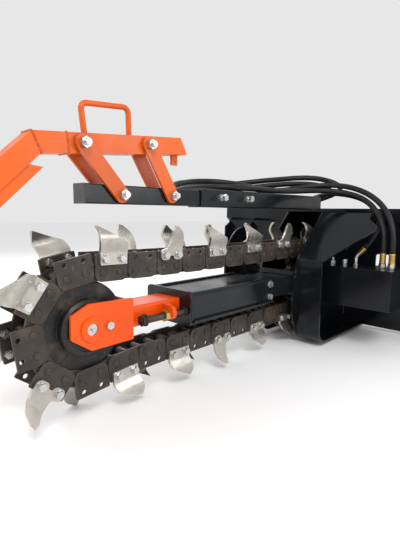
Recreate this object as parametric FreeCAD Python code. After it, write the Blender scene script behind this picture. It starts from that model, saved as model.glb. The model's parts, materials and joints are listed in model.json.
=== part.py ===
import FreeCAD, Part
import math
import os

V = FreeCAD.Vector
os.makedirs("parts", exist_ok=True)

# Frame: origin at ground level on the rear face of the mounting plate, in the chain's centre plane.
# +X points to the carrier machine, +Z up, and the digging end lies towards -X. -Y is the left side.

# ---- driving dimensions, millimetres ----
NOSE_X = -1400.0        # nose roller axis
AXLE_Z = 236.0          # height of the nose roller and headshaft axes
PITCH = 50.8            # chain pitch
LINKS = 60              # pitches in the chain
NOSE_R = 133.4          # radius at which the pins pass round the nose roller
SPROCKET_TEETH = 16
HEAD_R = PITCH / (2 * math.sin(math.pi / SPROCKET_TEETH))
FIRST_PIN_ANGLE = 89.0  # where the first pin stands on the nose wrap, degrees from +X
LOWER_RISE = 25.0       # the ground lifts the lower run by this much
TOP_SAG = 7.0           # and the top run hangs by this much

ROLLER_R = 14.5         # chain rollers
PIN_R = 8.0
PLATE = 6.0             # chain plate thickness
INNER_FACE = 29.6       # inner faces of the inner plates, from the centre plane
OUTER_FACE = 36.0       # inner faces of the outer plates
SIDE_FACE = OUTER_FACE + PLATE
BOLT_H = 35.0           # tooth bolts stand this far outside the pitch line
TOOTH = 8.0             # tooth thickness
M12 = 6.0               # bolt shank radii
M12_AF = 19.0

PLATE_HALF = 650.0      # mounting plate half width
PLATE_TOP = 546.0
HOOK_Z = 530.0          # underside of the hook bar
EDGE_BAR = 18.0         # height of the plate's bottom bar
SIDE_IN = 80.0          # head side plates, inner faces
SIDE_OUT = 88.0
DECK_Z = 530.0          # top of the side plates
SLEEVE_HALF = 31.0      # crumber sleeve
SLEEVE_Z0 = 538.0
SLEEVE_Z1 = 597.0
TUBE_HALF = 25.0        # crumber tube
TUBE_Z = 566.0
BOOM_HALF = 93.0
FORK_OUT = 68.0         # outer faces of the fork plates
FORK_IN = 60.0
HOSE_R = 11.0
DRAIN_R = 7.5
FIT = 0.05              # radial running clearance


def at(distance):
    """X of a place given by its distance behind the nose roller's axis."""
    return NOSE_X + distance


# ---- small shape helpers ----
def block(x0, x1, y0, y1, z0, z1):
    return Part.makeBox(x1 - x0, y1 - y0, z1 - z0, V(x0, y0, z0))


def rod(start, end, radius):
    start, end = V(*start), V(*end)
    return Part.makeCylinder(radius, (end - start).Length, start, end - start)


def rod_y(x, z, radius, y0, y1):
    return Part.makeCylinder(radius, y1 - y0, V(x, y0, z), V(0, 1, 0))


def ring_y(x, z, outer, inner, y0, y1):
    return rod_y(x, z, outer, y0, y1).cut(rod_y(x, z, inner, y0 - 1, y1 + 1))


def hexagon(centre, axis, flats, height):
    """Hexagonal prism standing on centre along a unit axis."""
    axis = V(*axis)
    side = V(0, 0, 1) if abs(axis.z) < 0.9 else V(1, 0, 0)
    across = axis.cross(side)
    radius = flats / math.sqrt(3)
    corners = []
    for i in range(7):
        turn = math.radians(60 * i)
        corners.append(V(*centre) + side * (radius * math.cos(turn)) + across * (radius * math.sin(turn)))
    return Part.Face(Part.makePolygon(corners)).extrude(axis * height)


def rounded_wire(points):
    """Closed wire through (x, z, corner radius) points, in the plane Y = 0."""
    count = len(points)
    edges = []
    starts, ends, mids = [], [], []
    for i, (x, z, radius) in enumerate(points):
        corner = V(x, 0, z)
        before = V(points[i - 1][0], 0, points[i - 1][1]) - corner
        after = V(points[(i + 1) % count][0], 0, points[(i + 1) % count][1]) - corner
        if radius <= 0:
            starts.append(corner)
            ends.append(corner)
            mids.append(None)
            continue
        half = before.getAngle(after) / 2
        reach = radius / math.tan(half)
        before.normalize()
        after.normalize()
        inward = before + after
        inward.normalize()
        starts.append(corner + before * reach)
        ends.append(corner + after * reach)
        mids.append(corner + inward * (radius / math.sin(half) - radius))
    for i in range(count):
        if mids[i] is not None:
            edges.append(Part.Arc(starts[i], mids[i], ends[i]).toShape())
        following = starts[(i + 1) % count]
        if (following - ends[i]).Length > 0.001:
            edges.append(Part.LineSegment(ends[i], following).toShape())
    return Part.Wire(edges)


def plate_y(points, y0, y1):
    """Flat plate with a rounded outline in X and Z, from y0 to y1."""
    face = Part.Face(rounded_wire(points))
    face.translate(V(0, y0, 0))
    return face.extrude(V(0, y1 - y0, 0))


def strip_wire(points, thickness):
    """Closed outline of a bent strip: its outer line of (x, z, bend radius), and that line set in."""
    inner = []
    for i, (x, z, radius) in enumerate(points):
        here = V(x, 0, z)
        first = here - V(points[i - 1][0], 0, points[i - 1][1]) if i > 0 else None
        last = V(points[i + 1][0], 0, points[i + 1][1]) - here if i < len(points) - 1 else None
        first = first or last
        last = last or first
        first = V(first).normalize()
        last = V(last).normalize()
        left = V(first.z, 0, -first.x) + V(last.z, 0, -last.x)
        left.normalize()
        reach = thickness / left.dot(V(first.z, 0, -first.x))
        inner.append((x + left.x * reach, z + left.z * reach, max(radius - thickness, 0)))
    return rounded_wire(list(points) + inner[::-1])


def bent_strip(points, thickness, y0, y1):
    face = Part.Face(strip_wire(points, thickness))
    face.translate(V(0, y0, 0))
    return face.extrude(V(0, y1 - y0, 0))


def mirror_y(shape):
    return shape.mirror(V(0, 0, 0), V(0, 1, 0))


def both_sides(shape):
    return [shape, mirror_y(shape)]


def save(node, solids):
    if not isinstance(solids, list):
        solids = [solids]
    loose = []
    for shape in solids:
        loose.extend(shape.Solids)
    for solid in loose:
        if not solid.isValid() or solid.Volume < 1:
            print("bad solid in", node)
    shape = loose[0] if len(loose) == 1 else Part.makeCompound(loose)
    shape.exportStep(f"parts/{node}.step")


# ---- hose and round-bar paths ----
def route_wire(points, radius_of):
    """Straight runs joined by tangent arcs; radius_of(shorter run, half turn) gives each arc's radius."""
    points = [V(*p) for p in points]
    edges = []
    here = points[0]
    radii = []
    for i in range(1, len(points) - 1):
        into = points[i] - points[i - 1]
        out = points[i + 1] - points[i]
        half = into.getAngle(out) / 2
        radius = radius_of(min(into.Length, out.Length), half)
        radii.append(radius)
        reach = radius * math.tan(half)
        into.normalize()
        out.normalize()
        start = points[i] - into * reach
        end = points[i] + out * reach
        inward = out - into
        inward.normalize()
        middle = points[i] + inward * (radius / math.cos(half) - radius)
        edges.append(Part.LineSegment(here, start).toShape())
        edges.append(Part.Arc(start, middle, end).toShape())
        here = end
    edges.append(Part.LineSegment(here, points[-1]).toShape())
    return Part.Wire(edges), radii


def tube_along(points, radius, radius_of):
    wire, radii = route_wire(points, radius_of)
    start = V(*points[0])
    profile = Part.Wire(Part.makeCircle(radius, start, V(*points[1]) - start))
    return wire.makePipeShell([profile], True, False), wire.Length, radii


def hose(node, points, radius):
    solid, length, radii = tube_along(points, radius, lambda run, half: 0.45 * run / math.tan(half))
    ratio = solid.Volume / (math.pi * radius ** 2 * length)
    print(f"{node}: length {length:.0f}, volume ratio {ratio:.4f}, bends", [round(r) for r in radii])
    save(node, solid)


# ---- the chain's line ----
def chain_line(head_x):
    """Points of the pin line once round, from the first pin: nose, lower run, sprocket, top run."""
    span = head_x - NOSE_X
    line = []
    for i in range(600):
        turn = math.radians(FIRST_PIN_ANGLE + (270 - FIRST_PIN_ANGLE) * i / 600)
        line.append((NOSE_X + NOSE_R * math.cos(turn), AXLE_Z + NOSE_R * math.sin(turn)))
    for i in range(1200):
        share = i / 1200
        level = AXLE_Z - NOSE_R + (NOSE_R - HEAD_R) * share
        level += LOWER_RISE * (1 - (2 * share - 1) ** 6)
        for x, radius in ((span * share, NOSE_R), (span * (1 - share), HEAD_R)):
            if x < radius:
                level = min(level, AXLE_Z - math.sqrt(radius ** 2 - x ** 2))
        line.append((NOSE_X + span * share, level))
    for i in range(600):
        turn = math.radians(-90 + 180 * i / 600)
        line.append((head_x + HEAD_R * math.cos(turn), AXLE_Z + HEAD_R * math.sin(turn)))
    end_x, end_z = line[0]
    for i in range(1200):
        share = i / 1200
        level = AXLE_Z + HEAD_R + (end_z - AXLE_Z - HEAD_R) * share
        line.append((head_x + (end_x - head_x) * share, level - TOP_SAG * 4 * share * (1 - share)))
    return line


def walk(line, steps):
    """Steps of one pitch along the line. Gives the pins and the place on the line where they end."""
    twice = line + line
    pins = [line[0]]
    i = 0
    for _ in range(steps):
        here = pins[-1]
        while math.dist(twice[i + 1], here) < PITCH:
            i += 1
        near, far = math.dist(twice[i], here), math.dist(twice[i + 1], here)
        share = (PITCH - near) / (far - near)
        a, b = twice[i], twice[i + 1]
        pins.append((a[0] + (b[0] - a[0]) * share, a[1] + (b[1] - a[1]) * share))
        last = i + share
    return pins, last


def close_chain():
    """The headshaft stands where the chain's last link meets its first pin."""
    low, high = at(1050), at(1200)
    for _ in range(40):
        middle = (low + high) / 2
        line = chain_line(middle)
        if walk(line, LINKS)[1] > len(line):
            low = middle
        else:
            high = middle
    return middle, walk(chain_line(middle), LINKS)[0][:LINKS]


HEAD_X, PINS = close_chain()
print(f"headshaft {HEAD_X:.2f}, centre distance {HEAD_X - NOSE_X:.2f}")


def link_place(first):
    """Placement of the link from pin number first to the next: X along travel, Y left, Z outwards."""
    a, b = PINS[first % LINKS], PINS[(first + 1) % LINKS]
    run = V(b[0] - a[0], 0, b[1] - a[1]).normalize()
    out = V(run.z, 0, -run.x)
    x, z = (a[0] + b[0]) / 2, (a[1] + b[1]) / 2
    rows = (run.x, 0, out.x, x, 0, -1, 0, 0, run.z, 0, out.z, z, 0, 0, 0, 1)
    return FreeCAD.Placement(FreeCAD.Matrix(*rows))


def on_links(shape, firsts):
    placed = []
    for first in firsts:
        copy = shape.copy()
        copy.Placement = link_place(first)
        placed.append(copy)
    return placed


OUTER_LINKS = range(0, LINKS, 2)
INNER_LINKS = range(1, LINKS, 2)
LEFT_TOOTHED = OUTER_LINKS[1::2]
RIGHT_TOOTHED = OUTER_LINKS[0::2]
LEFT_SHARKS = LEFT_TOOTHED[1::3]
RIGHT_SHARKS = RIGHT_TOOTHED[2::3]
LEFT_CUPS = [k for k in LEFT_TOOTHED if k not in LEFT_SHARKS]
RIGHT_CUPS = [k for k in RIGHT_TOOTHED if k not in RIGHT_SHARKS]
HALF_LINK = PITCH / 2
FIRST_BOLT = (-HALF_LINK, BOLT_H)
SECOND_BOLT = (HALF_LINK, BOLT_H)


def drilled(shape, holes, y0, y1):
    for x, z, radius in holes:
        shape = shape.cut(rod_y(x, z, radius, y0, y1))
    return shape


def outer_plate():
    outline = [(-49, -23.5, 20), (49, -23.5, 20), (49, 48, 3), (-49, 48, 3)]
    solid = plate_y(outline, OUTER_FACE, SIDE_FACE)
    holes = [(s, 0, PIN_R + FIT) for s in (-HALF_LINK, HALF_LINK)]
    holes += [(s, h, M12 + 0.5) for s, h in (FIRST_BOLT, SECOND_BOLT)]
    return drilled(solid, holes, OUTER_FACE - 1, SIDE_FACE + 1)


def inner_plate():
    outline = [(-47, -21.5, 21), (47, -21.5, 21), (47, 21.5, 21), (-47, 21.5, 21)]
    solid = plate_y(outline, INNER_FACE, INNER_FACE + PLATE)
    holes = [(s, 0, PIN_R + FIT) for s in (-HALF_LINK, HALF_LINK)]
    return drilled(solid, holes, INNER_FACE - 1, INNER_FACE + PLATE + 1)


def chain_pin():
    """Riveted pin: a shank with a low domed head at each end."""
    end = SIDE_FACE + 3.5
    profile = [(0, -end), (6.5, -end), (9.5, -end + 1.6), (9.5, -SIDE_FACE - 0.05), (PIN_R, -SIDE_FACE - 0.05)]
    profile += [(radius, -y) for radius, y in reversed(profile)]
    corners = [V(radius - HALF_LINK, y, 0) for radius, y in profile]
    face = Part.Face(Part.makePolygon(corners + corners[:1]))
    return face.revolve(V(-HALF_LINK, 0, 0), V(0, 1, 0), 360)


def tooth_holes():
    return [(s, h, M12 + 0.4) for s, h in (FIRST_BOLT, SECOND_BOLT)]


def bent_plate(profile, outline):
    """Tooth plate: a pad, then a bend through (y, height) points, trimmed to an outline seen from the side."""
    inner = Part.BSplineCurve()
    inner.interpolate([V(0, y, h) for y, h in profile[1:]])
    outer = Part.BSplineCurve()
    steps = [inner.FirstParameter + (inner.LastParameter - inner.FirstParameter) * i / 14 for i in range(15)]
    offset = []
    for step in steps:
        along = inner.tangent(step)[0]
        offset.append(inner.value(step) + V(0, along.z, -along.y) * TOOTH)
    start, end = inner.value(steps[0]), inner.value(steps[-1])
    outer.interpolate(offset)
    foot = V(0, profile[0][0], profile[0][1])
    foot_out = V(0, foot.y + (offset[0].y - start.y), foot.z + (offset[0].z - start.z))
    edges = [Part.LineSegment(foot, start).toShape(), inner.toShape(), Part.LineSegment(end, offset[-1]).toShape()]
    edges += [outer.toShape(), Part.LineSegment(offset[0], foot_out).toShape()]
    edges += [Part.LineSegment(foot_out, foot).toShape()]
    face = Part.Face(Part.Wire(Part.__sortEdges__(edges)))
    face.translate(V(-60, 0, 0))
    solid = face.extrude(V(120, 0, 0)).common(plate_y(outline, SIDE_FACE - 40, SIDE_FACE + 60))
    return drilled(solid, tooth_holes(), SIDE_FACE - 1, SIDE_FACE + TOOTH + 2)


def cup_tooth():
    """Plate that bends out from its pad and curls back over the chain to a forward tip."""
    profile = [(SIDE_FACE, 15), (SIDE_FACE, 50), (SIDE_FACE + 2, 58), (SIDE_FACE + 8, 70), (SIDE_FACE + 12, 82)]
    profile += [(SIDE_FACE + 11, 95), (SIDE_FACE + 4, 108), (SIDE_FACE - 7, 119), (SIDE_FACE - 18, 128)]
    outline = [(-42, 20, 2), (38, 20, 2), (40, 58, 30), (47, 84, 40), (47, 104, 40), (50, 121, 1.5)]
    outline += [(-34, 79, 8), (-43, 60, 20)]
    return bent_plate(profile, outline)


def shark_tooth():
    """Fin that leans out: two lobes round the bolts, a notch between them, and a narrow blade."""
    profile = [(SIDE_FACE, 15), (SIDE_FACE, 48), (SIDE_FACE + 2, 60), (SIDE_FACE + 7, 78), (SIDE_FACE + 13, 96)]
    profile += [(SIDE_FACE + 19, 112), (SIDE_FACE + 23, 124)]
    outline = [(-42, 21, 13), (-10, 21, 12), (-6, 33, 5), (6, 33, 5), (10, 21, 12), (41, 21, 13), (41, 49, 12)]
    outline += [(14, 56, 12), (7, 84, 40), (9, 108, 12), (4, 121, 2), (-8, 117, 10), (-30, 100, 30)]
    outline += [(-41, 75, 40)]
    return bent_plate(profile, outline)


def tooth_bolt():
    """Hexagon bolt with a washer face, from the left."""
    seat = SIDE_FACE + TOOTH
    washer = ring_y(-HALF_LINK, BOLT_H, 12.0, M12 - 0.5, seat, seat + 2)
    head = hexagon((-HALF_LINK, seat + 2, BOLT_H), (0, 1, 0), M12_AF, 7.5)
    crown = Part.makeCone(11.5, 9.0, 8.5, V(-HALF_LINK, seat + 2, BOLT_H), V(0, 1, 0))
    shank = rod_y(-HALF_LINK, BOLT_H, M12, OUTER_FACE - 12, seat + 3)
    return washer.fuse([head.common(crown), shank])


def tooth_nut():
    nut = hexagon((-HALF_LINK, OUTER_FACE - 10, BOLT_H), (0, 1, 0), M12_AF, 10)
    return nut.cut(rod_y(-HALF_LINK, BOLT_H, M12 + FIT, OUTER_FACE - 12, OUTER_FACE + 1))


def pair_at_both_bolts(shape):
    other = shape.copy()
    other.translate(V(PITCH, 0, 0))
    return Part.makeCompound([shape, other])


def chain():
    left, inner = outer_plate(), inner_plate()
    save("chain_outer_plates", on_links(left, OUTER_LINKS) + on_links(mirror_y(left), OUTER_LINKS))
    save("chain_inner_plates", on_links(inner, INNER_LINKS) + on_links(mirror_y(inner), INNER_LINKS))
    roller = ring_y(-HALF_LINK, 0, ROLLER_R, PIN_R + 0.1, -INNER_FACE + 0.3, INNER_FACE - 0.3)
    save("chain_rollers", on_links(roller, range(LINKS)))
    save("chain_pins", on_links(chain_pin(), range(LINKS)))
    cup, shark = cup_tooth(), shark_tooth()
    save("cup_teeth", on_links(cup, LEFT_CUPS) + on_links(mirror_y(cup), RIGHT_CUPS))
    save("shark_teeth", on_links(shark, LEFT_SHARKS) + on_links(mirror_y(shark), RIGHT_SHARKS))
    bolts, nuts = pair_at_both_bolts(tooth_bolt()), pair_at_both_bolts(tooth_nut())
    save("tooth_bolts", on_links(bolts, LEFT_TOOTHED) + on_links(mirror_y(bolts), RIGHT_TOOTHED))
    save("tooth_nuts", on_links(nuts, LEFT_TOOTHED) + on_links(mirror_y(nuts), RIGHT_TOOTHED))


# ---- nose roller and tension fork ----
AXLE_R = 20.0
BEARING_R = 40.0


def turned(profile, x, z):
    """Solid of revolution about the line along Y at (x, z), from (radius, y) corners."""
    corners = [V(x + radius, y, z) for radius, y in profile]
    face = Part.Face(Part.makePolygon(corners + corners[:1]))
    return face.revolve(V(x, 0, z), V(0, 1, 0), 360)


def nose_roller():
    drum = NOSE_R - ROLLER_R - 1.5
    half = [(BEARING_R, 0), (BEARING_R, 54), (60, 54), (60, 57), (66, 57), (72, 51), (72, 28.5)]
    half += [(drum - 3, 28.5), (drum, 26)]
    profile = half[1:] + [(radius, -y) for radius, y in reversed(half[1:])]
    return turned(profile, NOSE_X, AXLE_Z)


def nose_axle():
    shaft = rod_y(NOSE_X, AXLE_Z, AXLE_R, -FORK_OUT - 2, FORK_OUT + 2)
    flat = block(NOSE_X - 30, NOSE_X + 30, -FORK_OUT - 3, -FORK_OUT + 0.5, AXLE_Z + 15, AXLE_Z + 30)
    return shaft.cut(flat)


def nose_group():
    save("nose_roller", nose_roller())
    nipple = rod_y(NOSE_X, AXLE_Z, 5.0, -FORK_OUT - 8, -FORK_OUT - 2)
    nipple = nipple.fuse(Part.makeSphere(3.6, V(NOSE_X, -FORK_OUT - 9, AXLE_Z)))
    save("nose_axle", [nose_axle(), nipple])
    rings = []
    for y0, y1 in ((26, 44), (46, 52)):
        rings += both_sides(ring_y(NOSE_X, AXLE_Z, BEARING_R - 0.02, AXLE_R + FIT, y0, y1))
    save("nose_bearings", rings)


FORK_BACK = at(126)
BAR_TOP, BAR_BOTTOM, BAR_HALF = 267.0, 208.0, 50.0
SCREW_Y, SCREW_Z, SCREW_R = -75.0, 231.0, 10.0
LUG_X = at(243)


def fork_plate():
    outline = [(at(-55), 277, 3), (at(-6), 300, 4), (FORK_BACK, 296, 4), (FORK_BACK, 184, 4)]
    outline += [(at(-2), 182, 4), (at(-56), 219, 3)]
    solid = plate_y(outline, -FORK_OUT, -FORK_IN)
    holes = [(NOSE_X, AXLE_Z, AXLE_R + FIT), (at(50), AXLE_Z + 1, M12 + 0.3)]
    return drilled(solid, holes, -FORK_OUT - 1, -FORK_IN + 1)


def fork_web():
    """Cross plate between the fork plates, which the tension bar is welded to."""
    return block(FORK_BACK - 6, FORK_BACK, -FORK_IN, FORK_IN, 190, 290)


def tension_bar():
    outline = [(FORK_BACK, BAR_TOP, 0), (at(560), BAR_TOP, 6), (at(560), BAR_BOTTOM, 6), (FORK_BACK, BAR_BOTTOM, 0)]
    solid = plate_y(outline, -BAR_HALF, BAR_HALF)
    along = [e for e in solid.Edges if e.Length > 400 and abs(e.BoundBox.ZLength) < 0.1]
    return solid.makeFillet(7, along)


def screw_lug():
    """Rounded lug on the left side of the bar, which the tension screw passes through."""
    lug = block(LUG_X, LUG_X + 14, SCREW_Y, -BAR_HALF, BAR_BOTTOM + 7, BAR_TOP - 8)
    nose = Part.makeCylinder(22, 14, V(LUG_X, SCREW_Y, (BAR_BOTTOM + BAR_TOP - 1) / 2), V(1, 0, 0))
    hole = rod((LUG_X - 1, SCREW_Y, SCREW_Z), (LUG_X + 15, SCREW_Y, SCREW_Z), SCREW_R + FIT)
    return lug.fuse(nose).cut(hole)


def tension_screw():
    head_x = at(160)
    shank = rod((head_x, SCREW_Y, SCREW_Z), (BOOM_FRONT - 12, SCREW_Y, SCREW_Z), SCREW_R)
    flange = rod((head_x - 3, SCREW_Y, SCREW_Z), (head_x, SCREW_Y, SCREW_Z), 17)
    cap = hexagon((head_x - 14, SCREW_Y, SCREW_Z), (1, 0, 0), 28, 11)
    foot = rod((BOOM_FRONT - 14, SCREW_Y, SCREW_Z), (BOOM_FRONT - 8.3, SCREW_Y, SCREW_Z), 14)
    return shank.fuse([flange, cap, foot])


def fork():
    save("fork_plates", both_sides(fork_plate()) + [fork_web()])
    save("tension_bar", tension_bar())
    save("screw_lug", screw_lug())
    boss = ring_y(NOSE_X, AXLE_Z, 31, 15, -FORK_OUT - 5.5, -FORK_OUT - 2.05)
    boss = boss.fuse(ring_y(NOSE_X, AXLE_Z, 31, AXLE_R + 0.3, -FORK_OUT - 2.05, -FORK_OUT))
    save("axle_caps", both_sides(boss))
    keeper_x, keeper_z = at(50), AXLE_Z + 1
    head = hexagon((keeper_x, -FORK_OUT, keeper_z), (0, -1, 0), M12_AF, 8)
    keeper = head.fuse(rod_y(keeper_x, keeper_z, M12, -FORK_OUT - 1, -FORK_IN + 1.5))
    save("fork_bolts", both_sides(keeper))
    nut = hexagon((LUG_X - 18, SCREW_Y, SCREW_Z), (1, 0, 0), 30, 18)
    hole = rod((LUG_X - 20, SCREW_Y, SCREW_Z), (LUG_X + 1, SCREW_Y, SCREW_Z), SCREW_R + FIT)
    save("lock_nut", nut.cut(hole))
    save("tension_screw", tension_screw())


# ---- boom ----
BOOM_FRONT, BOOM_BACK = at(319), at(745)
BOOM_TOP, BOOM_BOTTOM, BOOM_WALL = 280.0, 193.0, 8.0
HEAD_FRONT = at(900)
TONGUE_HALF = 70.0


def boom_box():
    outer = block(BOOM_FRONT, BOOM_BACK, -BOOM_HALF, BOOM_HALF, BOOM_BOTTOM, BOOM_TOP)
    outer = outer.makeFillet(9, [e for e in outer.Edges if e.Length > BOOM_BACK - BOOM_FRONT - 1])
    hollow = block(
        BOOM_FRONT - 1, BOOM_BACK + 1, -BOOM_HALF + BOOM_WALL, BOOM_HALF - BOOM_WALL,
        BOOM_BOTTOM + BOOM_WALL, BOOM_TOP - BOOM_WALL,
    )
    box = outer.cut(hollow)
    for z in (262, 215):
        box = box.cut(rod_y(at(733), z, M12 + 0.3, -BOOM_HALF - 1, BOOM_HALF + 1))
    return box


def boom_collar():
    """Flared lip round the boom's mouth, with the pad that the tension screw pushes on."""
    x0, x1 = BOOM_FRONT - 8, BOOM_FRONT
    outline = block(x0, x1, -BOOM_HALF - 6, BOOM_HALF + 6, BOOM_BOTTOM - 8, BOOM_TOP + 10)
    outline = outline.makeFillet(14, [e for e in outline.Edges if e.Length < 9])
    mouth = block(x0 - 1, x1 + 1, -BAR_HALF - 1, BAR_HALF + 1, BAR_BOTTOM - 2, BAR_TOP + 2)
    return outline.cut(mouth)


def guide_pads():
    """Four plates inside the boom that the tension bar slides between."""
    pads = []
    for x in (at(330), at(500)):
        pads.append(block(x, x + 40, -BAR_HALF - 0.5, BAR_HALF + 0.5, BAR_TOP + 0.4, BOOM_TOP - BOOM_WALL))
        pads.append(block(x, x + 40, -BAR_HALF - 0.5, BAR_HALF + 0.5, BOOM_BOTTOM + BOOM_WALL, BAR_BOTTOM - 0.4))
    return pads


def wear_rails():
    rails = []
    for y in (-BOOM_HALF + 4, BOOM_HALF - 16):
        rails.append(block(BOOM_FRONT + 4, BOOM_BACK - 6, y, y + 12, BOOM_BOTTOM - 7, BOOM_BOTTOM))
        rails.append(block(BOOM_FRONT + 4, BOOM_BACK - 6, y, y + 12, BOOM_TOP, BOOM_TOP + 6))
    flange = block(BOOM_FRONT + 4, BOOM_BACK - 6, -BOOM_HALF - 13, -BOOM_HALF, BOOM_BOTTOM + 3, BOOM_BOTTOM + 8)
    rails += both_sides(flange)
    return rails


def boom_tongue():
    """Inner box that joins the boom to the head's front plate."""
    x0, x1 = at(600), HEAD_FRONT + 22
    wide, top, bottom = BOOM_HALF - BOOM_WALL - 0.3, BOOM_TOP - BOOM_WALL - 0.3, BOOM_BOTTOM + BOOM_WALL + 0.3
    outer = block(x0, BOOM_BACK + 8, -wide, wide, bottom, top)
    outer = outer.fuse(block(BOOM_BACK + 8, x1, -TONGUE_HALF, TONGUE_HALF, bottom, top))
    hollow = block(x0 - 1, x1 + 1, -TONGUE_HALF + 8, TONGUE_HALF - 8, bottom + 8, top - 8)
    box = outer.cut(hollow)
    for z in (262, 215):
        box = box.cut(rod_y(at(733), z, M12 + 0.3, -BOOM_HALF, BOOM_HALF))
    return box


def boom_bolts():
    bolts = []
    for z in (262, 215):
        head = hexagon((at(733), -BOOM_HALF, z), (0, -1, 0), M12_AF, 8)
        washer = rod_y(at(733), z, 12, -BOOM_HALF - 2, -BOOM_HALF)
        bolts += both_sides(head.fuse([washer, rod_y(at(733), z, M12, -BOOM_HALF - 1, -TONGUE_HALF + 12)]))
    return bolts


def boom():
    save("boom", boom_box())
    save("boom_collar", boom_collar())
    save("boom_wear_strips", guide_pads() + wear_rails())
    save("boom_tongue", boom_tongue())


# ---- head: side plates, mounting plate, guards ----
PLATE_FRONT = -8.0
SHOE_X, SHOE_IN, SHOE_OUT = at(941), -SIDE_OUT, -190.0
RAIL_FRONT = PLATE_FRONT - 22
BEND_Z = 340.0
GUARD_TOP_X = at(1134)


def side_plate(y0, y1):
    outline = [(PLATE_FRONT, 0, 0), (at(958), 0, 70), (at(898), 140, 190), (SHOE_X - 3, BEND_Z + 4, 60)]
    outline += [(GUARD_TOP_X, DECK_Z, 12), (PLATE_FRONT, DECK_Z, 0)]
    solid = plate_y(outline, y0, y1).cut(top_rail())
    return drilled(solid, [(HEAD_X, AXLE_Z, 52)], y0 - 1, y1 + 1)


def head_front():
    """Cross plates that close the front of the head above and below the boom tongue."""
    tie = block(HEAD_FRONT + 22, HEAD_FRONT + 32, -SIDE_IN, SIDE_IN, 192, 290)
    ledge = block(HEAD_FRONT + 8, HEAD_FRONT + 22, -SIDE_IN, SIDE_IN, 274, 284)
    return [tie, ledge]


def skid_shoe():
    line = [(PLATE_FRONT, 0, 0), (SHOE_X, 0, 62), (SHOE_X, BEND_Z, 0)]
    return bent_strip(line, 8, SHOE_OUT, SHOE_IN)


def guard_panel():
    """Sloping panel over the drive, wider at its top than at the shoe."""
    slope = V(GUARD_TOP_X - SHOE_X, 0, DECK_Z - BEND_Z)
    rise = slope.Length
    slope.normalize()
    corners = [(SHOE_IN, 0), (SHOE_OUT, 0), (-339, 0.65 * rise), (-339, 0.72 * rise)]
    corners += [(-296, 0.86 * rise), (-296, rise - 6), (SHOE_IN, rise - 6)]
    points = [V(SHOE_X, y, BEND_Z) + slope * t for y, t in corners]
    face = Part.Face(Part.makePolygon(points + points[:1]))
    return face.extrude(V(slope.z, 0, -slope.x) * 6).cut(skid_shoe())


def mounting_plate():
    """Flat plate up to the hook bar, with a window each side of the head, and an edge bar along its foot."""
    plate = block(PLATE_FRONT, 0, -PLATE_HALF, PLATE_HALF, EDGE_BAR, HOOK_Z)
    for y in (-262, 262):
        window = block(PLATE_FRONT - 1, 1, y - 35, y + 35, 250, 340)
        window = window.makeFillet(12, [e for e in window.Edges if e.BoundBox.XLength > 9])
        plate = plate.cut(window)
    return [plate, block(PLATE_FRONT, 0, -PLATE_HALF, PLATE_HALF, 0, EDGE_BAR)]


def top_rail():
    """Stepped rail across the front of the mounting plate's top."""
    line = [(PLATE_FRONT, 478), (PLATE_FRONT - 10, 478), (RAIL_FRONT, 492), (RAIL_FRONT, PLATE_TOP)]
    line += [(PLATE_FRONT, PLATE_TOP)]
    face = Part.Face(Part.makePolygon([V(x, -PLATE_HALF, z) for x, z in line + line[:1]]))
    return face.extrude(V(0, 2 * PLATE_HALF, 0))


def hook_bar():
    """Bar along the plate's top whose downturned lip takes the carrier's plate."""
    line = [(PLATE_FRONT, PLATE_TOP), (PLATE_FRONT, HOOK_Z), (14, HOOK_Z), (34, 498), (40, 502), (20, PLATE_TOP)]
    face = Part.Face(Part.makePolygon([V(x, -PLATE_HALF, z) for x, z in line + line[:1]]))
    return face.extrude(V(0, 2 * PLATE_HALF, 0))


def foot_bar():
    """Flange behind the plate's foot with a slot for each locking wedge."""
    bar = block(0, 36, -PLATE_HALF, PLATE_HALF, EDGE_BAR + 2, EDGE_BAR + 12)
    for y in (-430, 430):
        bar = bar.cut(block(8, 30, y - 22, y + 22, EDGE_BAR, EDGE_BAR + 14))
    return bar


def side_ribs():
    ribs = []
    for y in (-PLATE_HALF + 6, PLATE_HALF - 14, 470):
        line = [(PLATE_FRONT, 12, 0), (PLATE_FRONT - 46, 12, 8), (PLATE_FRONT - 46, 440, 8), (PLATE_FRONT, 470, 0)]
        ribs.append(plate_y(line, y, y + 8))
    return ribs


def deck():
    """Top plate between the side plates, which the crumber sleeve stands on."""
    return block(GUARD_TOP_X - 4, RAIL_FRONT, -SIDE_OUT, SIDE_OUT, DECK_Z, SLEEVE_Z0)


def head():
    save("side_plates", [side_plate(-SIDE_OUT, -SIDE_IN), side_plate(SIDE_IN, SIDE_OUT)])
    save("head_front_plates", head_front())
    save("skid_shoe", skid_shoe())
    save("guard_panel", guard_panel())
    save("mounting_plate", mounting_plate())
    save("top_rail", top_rail())
    save("mounting_lips", [hook_bar(), foot_bar()])
    save("mounting_ribs", side_ribs())
    save("deck_plate", deck())


# ---- drive: headshaft, sprocket, auger, motor ----
SHAFT_R = 25.0
AUGER_R, AUGER_END = 215.0, 400.0
BOX_HALF, BOX_END = 77.5, -419.0
BOX_TOP = AXLE_Z + BOX_HALF
PORT_X = HEAD_X


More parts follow.
